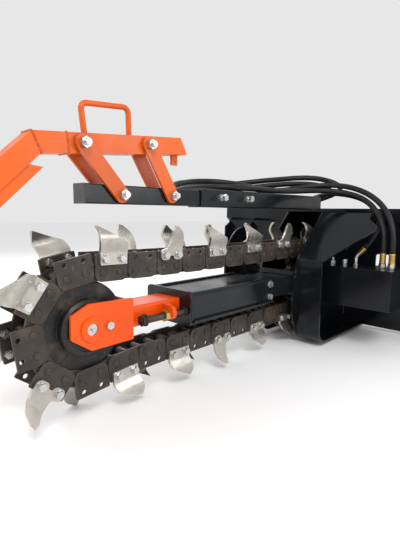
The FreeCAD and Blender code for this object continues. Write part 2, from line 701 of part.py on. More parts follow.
def sprocket():
    """Sprocket whose tooth gaps hold the chain's rollers at rest."""
    on_wheel = [p for p in PINS if abs(math.dist(p, (HEAD_X, AXLE_Z)) - HEAD_R) < 0.01]
    phase = math.degrees(math.atan2(on_wheel[0][1] - AXLE_Z, on_wheel[0][0] - HEAD_X))
    wheel = ring_y(HEAD_X, AXLE_Z, HEAD_R + 9, SHAFT_R + 14, -11, 11)
    for x, z in PINS:
        if abs(x - HEAD_X) < HEAD_R + 40:
            wheel = wheel.cut(rod_y(x, z, ROLLER_R + 0.5, -12, 12))
    for i in range(SPROCKET_TEETH):
        turn = math.radians(phase + 360 * i / SPROCKET_TEETH)
        x, z = HEAD_X + HEAD_R * math.cos(turn), AXLE_Z + HEAD_R * math.sin(turn)
        wheel = wheel.cut(rod_y(x, z, ROLLER_R + 0.35, -12, 12))
        far = HEAD_R + 16
        x, z = HEAD_X + far * math.cos(turn), AXLE_Z + far * math.sin(turn)
        wheel = wheel.cut(rod_y(x, z, ROLLER_R + 3.5, -12, 12))
    holes = []
    for i in range(8):
        turn = math.radians(45 * i)
        holes.append((HEAD_X + 80 * math.cos(turn), AXLE_Z + 80 * math.sin(turn), 14))
    return drilled(wheel, holes, -12, 12)


FLIGHT_EDGES = ((36.6, 0), (AUGER_R, 0), (AUGER_R, 6), (36.6, 6))


def flighting():
    """One full turn of auger plate from the right side plate out to the end of the tube."""
    reach, steps = AUGER_END - 10 - (SIDE_OUT + 30), 60
    rows = []
    for i in range(steps + 1):
        turn, run = math.tau * i / steps, reach * i / steps
        across = V(math.cos(turn), 0, -math.sin(turn))
        base = V(HEAD_X, SIDE_OUT + 30 + run, AXLE_Z)
        rows.append([base + across * radius + V(0, y, 0) for radius, y in FLIGHT_EDGES])
    tiles = [rows[0][:3], [rows[0][0], rows[0][2], rows[0][3]]]
    tiles += [rows[-1][:3], [rows[-1][0], rows[-1][2], rows[-1][3]]]
    for one, two in zip(rows, rows[1:]):
        for k in range(4):
            a, b = k, (k + 1) % 4
            tiles += [[one[a], one[b], two[b]], [one[a], two[b], two[a]]]
    shell = Part.makeShell([Part.Face(Part.makePolygon(t + t[:1])) for t in tiles])
    blade = Part.Solid(shell)
    if blade.Volume < 0:
        blade.reverse()
    return blade


def drive():
    save("headshaft", rod_y(HEAD_X, AXLE_Z, SHAFT_R, -120, AUGER_END + 10))
    hub = ring_y(HEAD_X, AXLE_Z, SHAFT_R + 15, SHAFT_R + FIT, -34, 34)
    save("drive_sprocket", sprocket().fuse(hub))
    tube = ring_y(HEAD_X, AXLE_Z, 36, SHAFT_R + FIT, SIDE_OUT + 26, AUGER_END)
    save("auger_tube", tube)
    save("auger_flight", flighting())
    cap = hexagon((HEAD_X, AUGER_END + 10, AXLE_Z), (0, 1, 0), 36, 14)
    washer = rod_y(HEAD_X, AXLE_Z, 30, AUGER_END + 10, AUGER_END + 14)
    save("auger_bolt", washer.fuse(cap))
    housings, bolts = [], []
    for side in (-1, 1):
        inside, outside = side * SIDE_IN, side * (SIDE_OUT + 14)
        ring = ring_y(HEAD_X, AXLE_Z, 51.7, SHAFT_R + FIT, *sorted((inside, outside)))
        flange = ring_y(HEAD_X, AXLE_Z, 70, SHAFT_R + FIT, *sorted((side * SIDE_OUT, outside)))
        housings.append(ring.fuse(flange))
        for i in range(6):
            turn = math.radians(60 * i + 30)
            x, z = HEAD_X + 61 * math.cos(turn), AXLE_Z + 61 * math.sin(turn)
            bolts.append(hexagon((x, outside, z), (0, side, 0), 13, 6))
    save("headshaft_bearings", housings)
    return bolts


def motor_box():
    outer = block(HEAD_X - BOX_HALF, HEAD_X + BOX_HALF, BOX_END, -SIDE_OUT, AXLE_Z - BOX_HALF, BOX_TOP)
    inner = block(
        HEAD_X - BOX_HALF + 6, HEAD_X + BOX_HALF - 6, BOX_END + 6, -SIDE_OUT + 1,
        AXLE_Z - BOX_HALF + 6, BOX_TOP - 6,
    )
    box = outer.cut(inner)
    for y, radius in PORTS:
        box = box.cut(rod((PORT_X, y, BOX_TOP - 8), (PORT_X, y, BOX_TOP + 1), radius))
    return box


PORTS = ((-356, 15.2), (-390, 15.2), (-251, 12.2), (-152, 13.2))


def motor():
    """Orbital motor on the left bearing housing: mounting flange, body and end cover, in one casting."""
    body = rod_y(HEAD_X, AXLE_Z, 55, -330, -134)
    flange = block(HEAD_X - 58, HEAD_X + 58, -142, -122, AXLE_Z - 58, AXLE_Z + 58)
    gerotor = rod_y(HEAD_X, AXLE_Z, 60, -290, -240)
    port_block = block(HEAD_X - 32, HEAD_X + 32, -408, -330, AXLE_Z - 20, AXLE_Z + 48)
    bore = rod_y(HEAD_X, AXLE_Z, 26, -143, -119)
    return body.fuse([flange, gerotor, port_block]).cut(bore)


def fittings():
    """Steel adapters in the motor's ports, brass-coloured crimped ferrules, and the drain elbow."""
    adapters, ferrules = [], []
    for y in (-356, -390):
        stem = rod((PORT_X, y, AXLE_Z + 48), (PORT_X, y, BOX_TOP + 4), 9)
        nut = hexagon((PORT_X, y, BOX_TOP + 4), (0, 0, 1), 25, 13)
        adapters.append(stem.fuse(nut))
        ferrules.append(rod((PORT_X, y, BOX_TOP + 17), (PORT_X, y, HOSE_START_Z), 12.5))
    base = rod((PORT_X, -251, AXLE_Z + 60.1), (PORT_X, -251, BOX_TOP + 6), 8)
    bend, _, _ = tube_along(
        [(PORT_X, -251, BOX_TOP + 6), (PORT_X, -251, BOX_TOP + 36), DRAIN_NUT], 7,
        lambda run, half: 16.0,
    )
    ferrules.append(rod(DRAIN_NUT, DRAIN_START, 9).cut(bend))
    save("hose_ferrules", ferrules)
    plug = hexagon((PORT_X, -152, BOX_TOP), (0, 0, 1), 22, 12)
    plug = plug.fuse(rod((PORT_X, -152, BOX_TOP + 10), (PORT_X, -152, BOX_TOP + 26), 7))
    second = hexagon((PORT_X, -205, BOX_TOP), (0, 0, 1), 18, 22)
    save("port_fittings", adapters + [base.fuse(bend), plug, second])


HOSE_START_Z = 372.0
DRAIN_NUT = (PORT_X + 5, -262, BOX_TOP + 50)
DRAIN_START = (PORT_X + 9.5, -280.6, BOX_TOP + 73.1)
REST_Z = 569.3          # hose couplers lie on their rack at this height
DRAIN_REST_Z = 565.3

def from_nose(points):
    return [(at(x), y, z) for x, y, z in points]


PRESSURE_ROUTE = from_nose([
    (PORT_X + 1400, -356, HOSE_START_Z), (1111, -356, 430), (1130, -333, 495), (1151, -294, 550.2),
    (1158, -236, 590.2), (1148, -168, 610.4), (1116, -105, 617.5), (1064, -57, 616.9),
    (999, -28, 611.8), (929, -16, 609.6), (858, -14, 608.9), (786, -13, 609), (715, -22, 609),
    (645, -24, 609), (582, 5, 608.9), (542, 61, 607.5), (528, 130, 605.7), (542, 200, 604.5),
    (582, 258, 603.8), (645, 290, 603.8), (716, 287, 605.6), (781, 259, 609.3), (836, 213, 615.4),
    (886, 163, 623.1), (934, 111, 631.9), (990, 66, 640.7), (1046, 24, 646.7), (1103, -20, 648.2),
    (1162, -54, 642.1), (1222, -62, 632.6), (1276, -44, 621.2), (1318, -3, 608.6),
    (1340, 57, 589.8), (1341, 125, 569.3), (1341, 170, 569.3),
])
RETURN_ROUTE = from_nose([
    (PORT_X + 1400, -390, HOSE_START_Z), (1111, -390, 432), (1125, -371, 500.2),
    (1146, -330, 555.9), (1158, -273, 599.2), (1158, -207, 627.9), (1142, -138, 640.9),
    (1109, -74, 640.1), (1058, -23, 630.5), (994, 6, 618.8), (922, 13, 611.7), (849, 15, 608.6),
    (777, 12, 611), (705, 3, 617.6), (635, 14, 623.8), (579, 59, 629.7), (551, 125, 630.9),
    (552, 197, 628.9), (581, 263, 628), (637, 308, 627.6), (708, 319, 628.7), (777, 300, 631.6),
    (836, 259, 636.9), (888, 209, 644.2), (937, 156, 652.8), (991, 109, 662), (1050, 66, 669),
    (1094, 10, 675.1), (1140, -46, 673.3), (1198, -86, 660.8), (1264, -95, 644.1),
    (1325, -69, 627.6), (1366, -14, 609.6), (1380, 54, 590), (1380, 124, 569.3), (1380, 170, 569.3),
])
DRAIN_ROUTE = [DRAIN_START] + from_nose([
    (1125.3, -301.7, 412.8), (1139, -320, 458.3), (1157, -315, 505.2), (1174, -288, 545),
    (1183, -246, 573), (1195, -200, 590.2), (1207, -151, 600.3), (1219, -101, 606.1),
    (1232, -52, 609), (1251, -5, 604.8), (1270, 41, 595), (1290, 87, 580.4), (1302, 134, 565.3),
    (1302, 170, 565.3),
])


def couplers():
    """Quick couplers on the hoses' free ends, lying in a rack behind the crumber sleeve."""
    pieces = []
    for x, z, radius in ((at(1380), REST_Z, 18), (at(1341), REST_Z, 18), (at(1302), DRAIN_REST_Z, 14)):
        ferrule = rod((x, 170, z), (x, 205, z), radius - 5.5)
        body = rod((x, 205, z), (x, 262, z), radius)
        nose = rod((x, 262, z), (x, 276, z), radius - 5)
        pieces.append(ferrule.fuse([body, nose]))
    save("hose_couplers", pieces)
    shelf = block(at(1284), PLATE_FRONT, 168, 285, PLATE_TOP, PLATE_TOP + 5)
    rack = shelf.fuse(block(at(1284), PLATE_FRONT, 280, 285, PLATE_TOP, PLATE_TOP + 40))
    save("coupler_rack", rack)


def hydraulics():
    save("motor_box", motor_box())
    save("hydraulic_motor", motor())
    fittings()
    hose("pressure_hose", PRESSURE_ROUTE, HOSE_R)
    hose("return_hose", RETURN_ROUTE, HOSE_R)
    hose("drain_hose", DRAIN_ROUTE, DRAIN_R)
    couplers()


# ---- crumber: sleeve, tube, four-bar linkage, arm ----
FRONT_LOW = (at(120), 566.0)
FRONT_HIGH = (at(10), 684.0)
REAR_LOW = (at(297), 569.0)
REAR_HIGH = (at(212), 703.0)
LINK_IN, LINK_OUT = 28.0, 36.0
LINK_R = 21.0
PIVOT_R = 8.0
OPEN_SLACK = 0.9        # radial room at the rear upper pivot, where the closed linkage is opened


def sleeve():
    x0, x1 = at(425), at(1215)
    outer = block(x0, x1, -SLEEVE_HALF, SLEEVE_HALF, SLEEVE_Z0, SLEEVE_Z1)
    outer = outer.makeFillet(5, [e for e in outer.Edges if e.Length > x1 - x0 - 1])
    hollow = block(
        x0 - 1, x1 - 8, -TUBE_HALF - 0.4, TUBE_HALF + 0.4,
        TUBE_Z - TUBE_HALF - 0.4, TUBE_Z + TUBE_HALF + 0.4,
    )
    solid = outer.cut(hollow)
    for x in (at(509), at(651)):
        solid = solid.cut(rod_y(x, TUBE_Z + 4, 6.3, -SLEEVE_HALF - 1, -TUBE_HALF))
    return solid


def clamp_parts():
    nuts, bolts = [], []
    for x in (at(509), at(651)):
        z = TUBE_Z + 4
        nut = hexagon((x, -SLEEVE_HALF, z), (0, -1, 0), 20, 11)
        nuts.append(nut.cut(rod_y(x, z, 6 + FIT, -SLEEVE_HALF - 12, -SLEEVE_HALF + 1)))
        shank = rod_y(x, z, 6, -SLEEVE_HALF - 26, -TUBE_HALF - 0.2)
        lock = hexagon((x, -SLEEVE_HALF - 11.1, z), (0, -1, 0), 18, 5)
        head = hexagon((x, -SLEEVE_HALF - 24, z), (0, -1, 0), M12_AF, 8)
        bolts.append(shank.fuse([lock, head]))
    return nuts, bolts


def stadium(low, high, radius, y0, y1, holes):
    """Link plate: rounded ends about two pivots."""
    a, b = V(low[0], 0, low[1]), V(high[0], 0, high[1])
    along = V(b - a).normalize() * 1.0
    side = V(along.z, 0, -along.x) * radius
    edges = [
        Part.LineSegment(a + side, b + side).toShape(),
        Part.Arc(b + side, b + along * radius, b - side).toShape(),
        Part.LineSegment(b - side, a - side).toShape(),
        Part.Arc(a - side, a - along * radius, a + side).toShape(),
    ]
    face = Part.Face(Part.Wire(edges))
    face.translate(V(0, y0, 0))
    return drilled(face.extrude(V(0, y1 - y0, 0)), holes, y0 - 1, y1 + 1)


def link_pair(low, high, high_hole):
    holes = [(*low, PIVOT_R + FIT), (*high, high_hole)]
    return both_sides(stadium(low, high, LINK_R, -LINK_OUT, -LINK_IN, holes))


def pivot_bolt(place):
    """Through bolt with a nut at each end and a stub of thread towards the left."""
    x, z = place
    shank = rod_y(x, z, PIVOT_R, -LINK_OUT - 24, LINK_OUT + 12)
    left = hexagon((x, -LINK_OUT - 0.5, z), (0, -1, 0), 24, 13)
    right = hexagon((x, LINK_OUT + 0.5, z), (0, 1, 0), 24, 10)
    return shank.fuse([left, right])


def crumber_tube():
    x0, x1 = at(18), at(860)
    outer = block(x0, x1, -TUBE_HALF, TUBE_HALF, TUBE_Z - TUBE_HALF, TUBE_Z + TUBE_HALF)
    outer = outer.makeFillet(4, [e for e in outer.Edges if e.Length > x1 - x0 - 1])
    hollow = block(x0 - 1, x1 + 1, -TUBE_HALF + 4, TUBE_HALF - 4, TUBE_Z - TUBE_HALF + 4, TUBE_Z + TUBE_HALF - 4)
    holes = [(*FRONT_LOW, PIVOT_R + FIT), (*REAR_LOW, PIVOT_R + FIT)]
    return drilled(outer.cut(hollow), holes, -TUBE_HALF - 1, TUBE_HALF + 1)


def tube_cap():
    flange = block(at(13), at(18), -TUBE_HALF, TUBE_HALF, TUBE_Z - TUBE_HALF, TUBE_Z + TUBE_HALF)
    plug = block(at(18), at(34), -TUBE_HALF + 4.3, TUBE_HALF - 4.3, TUBE_Z - TUBE_HALF + 4.3, TUBE_Z + TUBE_HALF - 4.3)
    return flange.fuse(plug)


ARM_SLOPE = (REAR_HIGH[1] - FRONT_HIGH[1]) / (REAR_HIGH[0] - FRONT_HIGH[0])
ARM_HALF = 24.0
ARM_Y = 25.0
KNEE = V(at(-100), 0, FRONT_HIGH[1] - ARM_SLOPE * (FRONT_HIGH[0] - at(-100)))
LEG = V(-1, 0, -0.94).normalize()       # down the leg
LEG_UNDER = V(-LEG.z, 0, LEG.x)         # square to it, towards its underside
LEG_RUN = 555.0
POST_HALF = 24.0


def arm_centre(x):
    return FRONT_HIGH[1] + ARM_SLOPE * (x - FRONT_HIGH[0])


def square_tube(outline, cavity, y_half, wall):
    solids = []
    for corners, half in ((outline, y_half), (cavity, y_half - wall)):
        face = Part.Face(Part.makePolygon(list(corners) + [corners[0]]))
        face.translate(V(0, -half, 0))
        solids.append(face.extrude(V(0, 2 * half, 0)))
    return solids[0].cut(solids[1])


def knee_line(offset):
    """Place on the mitre at the knee, at an offset across the leg towards its underside."""
    arm = V(1, 0, ARM_SLOPE).normalize()
    arm_under = V(arm.z, 0, -arm.x)
    middle = (arm_under + LEG_UNDER).normalize()
    return KNEE + middle * (offset / middle.dot(LEG_UNDER))


def crumber_arm():
    arm = V(1, 0, ARM_SLOPE).normalize()
    over = V(-arm.z, 0, arm.x)
    top = V(at(340), 0, arm_centre(at(340))) + over * ARM_HALF
    low = V(at(362), 0, arm_centre(at(362))) - over * ARM_HALF
    outline = [knee_line(-ARM_HALF), top, low, knee_line(ARM_HALF)]
    end = V(at(400), 0, arm_centre(at(400)))
    bore = ARM_HALF - 4
    cavity = [knee_line(-bore) + arm * 8, end + over * bore, end - over * bore, knee_line(bore) + arm * 8]
    tube = square_tube(outline, cavity, ARM_Y, 4)
    holes = [(*FRONT_HIGH, PIVOT_R + FIT), (*REAR_HIGH, PIVOT_R + FIT)]
    return drilled(tube, holes, -ARM_Y - 1, ARM_Y + 1)


def leg_end(offset):
    """Where the leg's line at an offset meets the post's near side."""
    start = KNEE + LEG_UNDER * offset
    return start + LEG * ((POST_X + POST_HALF - start.x) / LEG.x)


POST_X = (KNEE + LEG * LEG_RUN).x


def arm_leg():
    outline = [knee_line(-ARM_HALF), leg_end(-ARM_HALF), leg_end(ARM_HALF), knee_line(ARM_HALF)]
    bore = ARM_HALF - 4
    cavity = [knee_line(-bore) + LEG * 8, leg_end(-bore) + LEG * 9, leg_end(bore) + LEG * 9, knee_line(bore) + LEG * 8]
    return square_tube(outline, cavity, ARM_Y, 4)


def leg_channel():
    """Open channel under the leg, cut to a point at its upper end."""
    def place(down, under):
        return KNEE + LEG * down + LEG_UNDER * under
    end = 470
    web = [place(48, ARM_HALF), place(26, 49), place(end, 49), place(end, ARM_HALF)]
    cheek = Part.Face(Part.makePolygon(web + web[:1]))
    cheek.translate(V(0, -22, 0))
    base = [place(30, 45), place(26, 49), place(end, 49), place(end, 45)]
    floor = Part.Face(Part.makePolygon(base + base[:1]))
    floor.translate(V(0, -20, 0))
    near = cheek.extrude(V(0, 4, 0))
    return near.fuse([floor.extrude(V(0, 40, 0)), mirror_y(near)])


def foot():
    """Upright below the leg and the curved shoe that clears the trench floor."""
    height = leg_end(-ARM_HALF).z + 12
    post = block(POST_X - POST_HALF, POST_X + POST_HALF, -POST_HALF, POST_HALF, 42, height)
    bore = POST_HALF - 4
    post = post.cut(block(POST_X - bore, POST_X + bore, -bore, bore, 41, height - 4))
    line = [(POST_X + 70, 0, 0), (POST_X - 44, 0, 70), (POST_X - 96, 168, 0)]
    shoe = bent_strip(line, 8, -62, 62)
    outline = [(POST_X - 24, 120, 0), (POST_X + 24, 120, 0), (POST_X + 52, 8, 0), (POST_X - 24, 8, 0)]
    return [post, shoe] + both_sides(plate_y(outline, -POST_HALF - 8, -POST_HALF))


def handle():
    points = [
        (at(33), 0, arm_centre(at(33)) + ARM_HALF), (at(24), 0, 784), (at(166), 0, 797),
        (at(168), 0, arm_centre(at(168)) + ARM_HALF),
    ]
    solid, _, _ = tube_along(points, 7.5, lambda run, half: 16.0)
    return solid.cut(crumber_arm())


def end_lug():
    """Small eye under the arm's rear end."""
    x0, x1 = at(322), at(344)
    corners = [V(x, -4, arm_centre(x) - ARM_HALF * 1.0044) for x in (x0, x1)]
    corners += [V(x1, -4, 661), V(x0, -4, 661)]
    lug = Part.Face(Part.makePolygon(corners + corners[:1])).extrude(V(0, 8, 0))
    return lug.cut(rod_y(x0 + 12, 670, 3.5, -5, 5))


def crumber(bearing_bolts):
    save("crumber_sleeve", sleeve())
    nuts, bolts = clamp_parts()
    save("frame_bolts", nuts + bolts + boom_bolts() + bearing_bolts)
    save("crumber_tube", crumber_tube())
    save("tube_cap", tube_cap())
    save("front_links", link_pair(FRONT_LOW, FRONT_HIGH, PIVOT_R + FIT))
    save("rear_links", link_pair(REAR_LOW, REAR_HIGH, PIVOT_R + OPEN_SLACK))
    save("lower_pivot_bolts", [pivot_bolt(FRONT_LOW), pivot_bolt(REAR_LOW)])
    save("upper_pivot_bolts", [pivot_bolt(FRONT_HIGH), pivot_bolt(REAR_HIGH)])
    save("crumber_arm", [crumber_arm(), end_lug()])
    save("arm_leg", arm_leg())
    save("leg_channel", leg_channel())
    save("crumber_shoe", foot())
    save("arm_handle", handle())


chain()
nose_group()
fork()
boom()
head()
hydraulics()
crumber(drive())
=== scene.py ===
"""Chain trencher attachment: finishes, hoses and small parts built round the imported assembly."""

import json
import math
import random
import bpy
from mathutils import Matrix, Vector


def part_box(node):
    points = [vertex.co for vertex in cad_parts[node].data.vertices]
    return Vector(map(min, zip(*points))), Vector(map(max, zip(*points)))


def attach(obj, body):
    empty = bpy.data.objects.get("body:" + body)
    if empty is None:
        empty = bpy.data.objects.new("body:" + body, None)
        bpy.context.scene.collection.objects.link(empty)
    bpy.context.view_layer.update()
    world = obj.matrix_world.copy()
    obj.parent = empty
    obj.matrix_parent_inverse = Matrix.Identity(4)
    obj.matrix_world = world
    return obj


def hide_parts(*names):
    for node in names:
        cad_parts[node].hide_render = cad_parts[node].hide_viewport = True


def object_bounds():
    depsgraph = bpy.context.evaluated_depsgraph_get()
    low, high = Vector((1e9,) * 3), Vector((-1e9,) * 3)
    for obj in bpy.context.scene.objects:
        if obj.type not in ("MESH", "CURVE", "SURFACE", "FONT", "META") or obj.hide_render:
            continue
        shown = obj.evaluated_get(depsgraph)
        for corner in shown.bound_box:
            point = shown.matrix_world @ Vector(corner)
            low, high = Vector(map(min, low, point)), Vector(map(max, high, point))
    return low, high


bl_info = {
    "name": "Trencher Attachment",
    "version": (1, 0, 0),
    "blender": (4, 5, 0),
    "location": "View3D > Sidebar > Trencher",
    "description": "Builds the finishes, hoses, welds and small parts of a chain trencher attachment",
    "category": "Object",
}

import bmesh
import bpy
from mathutils import Matrix, Vector

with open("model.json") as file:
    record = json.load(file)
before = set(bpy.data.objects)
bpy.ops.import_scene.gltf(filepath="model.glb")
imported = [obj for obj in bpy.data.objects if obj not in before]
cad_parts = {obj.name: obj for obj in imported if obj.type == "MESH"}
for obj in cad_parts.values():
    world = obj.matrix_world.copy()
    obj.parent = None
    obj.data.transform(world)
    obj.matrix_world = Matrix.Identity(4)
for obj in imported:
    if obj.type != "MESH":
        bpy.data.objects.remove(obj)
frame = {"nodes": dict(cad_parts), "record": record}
CAD_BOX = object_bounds()
NODES = frame["nodes"]
MM = 0.001


def low(node):
    return Vector(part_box(node)[0])


def high(node):
    return Vector(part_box(node)[1])


# ------------------------------------------------------------------ settings
def colour(name, text, value):
    return bpy.props.FloatVectorProperty(
        name=name, description=text, subtype="COLOR", size=3, min=0.0, max=1.0, default=value
    )


def length(name, text, value):
    return bpy.props.FloatProperty(
        name=name, description=text, subtype="DISTANCE", unit="LENGTH", default=value
    )


def share(name, text, value):
    return bpy.props.FloatProperty(
        name=name, description=text, subtype="FACTOR", min=0.0, max=1.0, default=value
    )


class TrencherFinishes(bpy.types.PropertyGroup):
    black: colour("Frame black", "Gloss enamel on the head and boom", (0.0035, 0.0045, 0.0062))
    orange: colour("Fork orange", "Enamel on the take-up fork", (0.86, 0.082, 0.0))
    dull_orange: colour("Arm orange", "Enamel on the crumber arm", (0.62, 0.100, 0.009))
    chain: colour("Chain steel", "Oiled steel of the chain plates", (0.036, 0.028, 0.021))
    tooth: colour("Tooth steel", "Bare steel of the teeth", (0.56, 0.53, 0.48))
    zinc: colour("Zinc", "Plating on bolts", (0.62, 0.62, 0.60))
    gold: colour("Yellow zinc", "Plating on ferrules and the jam nut", (0.62, 0.40, 0.12))
    wear: share("Edge wear", "How much bare metal shows on edges", 0.5)


class TrencherSizes(bpy.types.PropertyGroup):
    hose_diameter: length("Hose diameter", "Outside diameter of the pressure and return hoses", 0.022)
    drain_diameter: length("Drain hose diameter", "Outside diameter of the drain hose", 0.015)
    weld_size: length("Weld size", "Half width of a weld bead", 0.0038)


def finishes():
    return bpy.context.scene.trencher_finishes


def sizes():
    return bpy.context.scene.trencher_sizes


# ------------------------------------------------------------------ materials
class Nodes:
    """A short way to add and join shader nodes in one material."""

    def __init__(self, name):
        self.material = bpy.data.materials.new(name)
        self.material.use_nodes = True
        self.tree = self.material.node_tree
        self.shader = self.tree.nodes["Principled BSDF"]
        self.place = self.add("ShaderNodeTexCoord").outputs["Object"]

    def add(self, kind, **values):
        node = self.tree.nodes.new(kind)
        for key, value in values.items():
            setattr(node, key, value)
        return node

    def join(self, source, target):
        if isinstance(source, (int, float)):
            target.default_value = (source, source, source, 1.0) if target.type == "RGBA" else source
        elif isinstance(source, (tuple, list)) or hasattr(source, "r"):
            target.default_value = (*source[:3], 1.0)
        else:
            self.tree.links.new(source, target)

    def noise(self, scale, detail=4.0, rough=0.55, stretch=None, distortion=0.0):
        node = self.add("ShaderNodeTexNoise")
        node.inputs["Scale"].default_value = scale
        node.inputs["Detail"].default_value = detail
        node.inputs["Roughness"].default_value = rough
        node.inputs["Distortion"].default_value = distortion
        self.join(self.mapped(stretch) if stretch else self.place, node.inputs["Vector"])
        return node.outputs["Fac"]

    def mapped(self, stretch, turn=(0, 0, 0)):
        node = self.add("ShaderNodeMapping")
        node.inputs["Scale"].default_value = stretch
        node.inputs["Rotation"].default_value = turn
        self.join(self.place, node.inputs["Vector"])
        return node.outputs["Vector"]

    def cells(self, scale, feature="F1"):
        node = self.add("ShaderNodeTexVoronoi", feature=feature)
        node.inputs["Scale"].default_value = scale
        self.join(self.place, node.inputs["Vector"])
        return node.outputs["Distance"]

    def ramp(self, value, *stops):
        node = self.add("ShaderNodeValToRGB")
        points = node.color_ramp.elements
        while len(points) < len(stops):
            points.new(0.5)
        for point, (where, shade) in zip(points, stops):
            point.position = where
            point.color = (shade, shade, shade, 1) if isinstance(shade, (int, float)) else (*shade[:3], 1)
        self.join(value, node.inputs["Fac"])
        return node.outputs["Color"]

    def mix(self, share_of, first, second):
        node = self.add("ShaderNodeMix", data_type="RGBA")
        self.join(share_of, node.inputs["Factor"])
        self.join(first, node.inputs["A"])
        self.join(second, node.inputs["B"])
        return node.outputs["Result"]

    def maths(self, operation, first, second=0.0, clamp=False):
        node = self.add("ShaderNodeMath", operation=operation, use_clamp=clamp)
        self.join(first, node.inputs[0])
        self.join(second, node.inputs[1])
        return node.outputs[0]

    def edges(self, radius):
        """0 on flat faces, rising to about 1 on outer and inner edges."""
        bevel = self.add("ShaderNodeBevel", samples=6)
        bevel.inputs["Radius"].default_value = radius
        true = self.add("ShaderNodeNewGeometry").outputs["Normal"]
        dot = self.add("ShaderNodeVectorMath", operation="DOT_PRODUCT")
        self.join(bevel.outputs["Normal"], dot.inputs[0])
        self.join(true, dot.inputs[1])
        return self.maths("SUBTRACT", 1.0, dot.outputs["Value"], clamp=True)

    def bump(self, height, strength, distance, soft_edge=0.0):
        node = self.add("ShaderNodeBump")
        node.inputs["Strength"].default_value = strength
        node.inputs["Distance"].default_value = distance
        self.join(height, node.inputs["Height"])
        if soft_edge:
            bevel = self.add("ShaderNodeBevel", samples=4)
            bevel.inputs["Radius"].default_value = soft_edge
            self.join(bevel.outputs["Normal"], node.inputs["Normal"])
        self.join(node.outputs["Normal"], self.shader.inputs["Normal"])

    def put(self, **sockets):
        for key, value in sockets.items():
            self.join(value, self.shader.inputs[key.replace("_", " ")])


def gloss_enamel(name, base, worn, wear, roughness=(0.16, 0.34), dust=0.12, coat=0.06, shine=0.28):
    """Sprayed enamel: orange peel, fine scratches, specks of dust and bare metal on edges."""
    m = Nodes(name)
    tone = m.noise(3.5, 5.0)
    darker, lighter = tuple(c * 0.80 for c in base), tuple(min(c * 1.18 + 0.002, 1) for c in base)
    shade = m.ramp(tone, (0.30, darker), (0.70, lighter))
    speck = m.ramp(m.noise(260, 3.0), (0.60, 0.0), (0.74, dust))
    shade = m.mix(speck, shade, (0.30, 0.28, 0.25))
    scratch = m.ramp(m.noise(34, 6.0, 0.7, stretch=(1, 1, 14)), (0.655, 0.0), (0.70, 0.28))
    lifted = tuple(min(c * 1.9 + 0.03, 1) for c in base)
    shade = m.mix(scratch, shade, lifted)
    edge = m.edges(1.6 * MM)
    chip_edge = m.ramp(edge, (0.05, 0.0), (0.30, 1.0))
    chip = m.maths("MULTIPLY", chip_edge, m.ramp(m.noise(70, 5.0, 0.7), (0.46, 0.0), (0.60, 1.0)))
    chip = m.maths("MULTIPLY", chip, wear)
    shade = m.mix(chip, shade, worn)
    grain = m.ramp(m.noise(9, 5.0), (0.35, roughness[0]), (0.70, roughness[1]))
    m.put(Base_Color=shade, Roughness=m.mix(chip, grain, 0.38), Metallic=m.maths("MULTIPLY", chip, 0.85))
    m.put(Coat_Weight=coat)
    m.put(Coat_Roughness=0.12)
    m.put(Specular_IOR_Level=shine)
    peel = m.noise(420, 2.0)
    m.bump(m.maths("ADD", m.maths("MULTIPLY", peel, 0.35), m.noise(26, 3.0)), 0.10, 0.6 * MM, soft_edge=0.9 * MM)
    return m.material


def oiled_chain_steel(name, base):
    """Heat treated plate: mottled brown-black oxide, oil sheen, rubbed bright on the edges."""
    m = Nodes(name)
    tone = m.noise(18, 8.0, 0.65)
    shade = m.ramp(tone, (0.28, tuple(c * 0.45 for c in base)), (0.52, base), (0.74, (0.085, 0.058, 0.038)))
    rust = m.ramp(m.noise(65, 7.0, 0.7), (0.58, 0.0), (0.74, 0.55))
    shade = m.mix(rust, shade, (0.125, 0.062, 0.030))
    scuff = m.ramp(m.noise(150, 4.0, 0.6, stretch=(1, 1, 0.2)), (0.62, 0.0), (0.74, 0.30))
    shade = m.mix(scuff, shade, (0.20, 0.18, 0.16))
    rub_edge = m.ramp(m.edges(1.3 * MM), (0.04, 0.0), (0.28, 1.0))
    rub = m.maths("MULTIPLY", rub_edge, m.ramp(m.noise(55, 4.0), (0.36, 0.1), (0.60, 0.9)))
    shade = m.mix(rub, shade, (0.30, 0.27, 0.24))
    m.put(Base_Color=shade, Roughness=m.ramp(m.noise(40, 6.0), (0.30, 0.34), (0.72, 0.62)))
    m.put(Metallic=m.maths("ADD", m.maths("MULTIPLY", rub, 0.6), 0.25))
    m.bump(m.noise(170, 6.0, 0.7), 0.32, 0.5 * MM, soft_edge=0.8 * MM)
    return m.material


def bare_steel(name, base, roughness=(0.22, 0.42), stain=(0.30, 0.24, 0.17), grain_scale=240, lines=(1, 1, 18)):
    """Worn bright steel with drawn grain, stains and a few deep scratches."""
    m = Nodes(name)
    shade = m.ramp(m.noise(9, 6.0, 0.6), (0.30, tuple(c * 0.72 for c in base)), (0.68, base))
    blotch = m.ramp(m.noise(26, 7.0, 0.7), (0.52, 0.0), (0.72, 0.55))
    shade = m.mix(blotch, shade, stain)
    scratch = m.noise(grain_scale, 3.0, 0.6, stretch=lines)
    shade = m.mix(m.ramp(scratch, (0.60, 0.0), (0.70, 0.45)), shade, tuple(c * 0.45 for c in base))
    bright = m.ramp(m.edges(1.2 * MM), (0.04, 0.0), (0.30, 0.8))
    shade = m.mix(bright, shade, tuple(min(c * 1.35, 1) for c in base))
    m.put(Base_Color=shade, Roughness=m.ramp(m.noise(30, 5.0), (0.30, roughness[0]), (0.72, roughness[1])))
    m.put(Metallic=0.92)
    m.bump(m.maths("ADD", m.maths("MULTIPLY", scratch, 0.6), m.noise(60, 5.0)), 0.22, 0.4 * MM, soft_edge=0.7 * MM)
    return m.material


